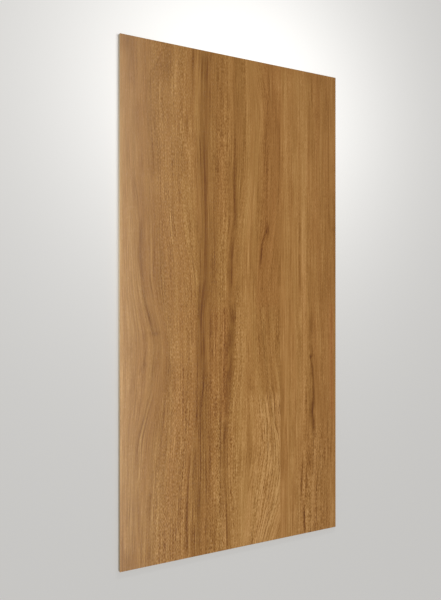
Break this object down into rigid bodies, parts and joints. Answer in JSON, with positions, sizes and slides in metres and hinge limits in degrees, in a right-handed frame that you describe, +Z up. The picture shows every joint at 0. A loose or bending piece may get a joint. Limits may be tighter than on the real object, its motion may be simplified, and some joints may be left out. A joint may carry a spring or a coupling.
{
  "type": "decorative laminate sheet",
  "caption": "Full-size flat decorative laminate sheet in the thick self-supporting grade, with wood-grain faces, square sawn grey core edges and a fine arris.",
  "frame": {"origin": "middle of the lower face, on the floor that the sheet lies on", "axes": "+X across the grain, +Y along the grain and the sheet's length, +Z up through its thickness, out of the printed face that the picture shows"},
  "size_m": [1.22, 2.44, 0.018],
  "materials": {
    "laminate": "satin"
  },
  "bodies": {
    "root": {"laminate_sheet": "laminate"}
  },
  "joints": []
}
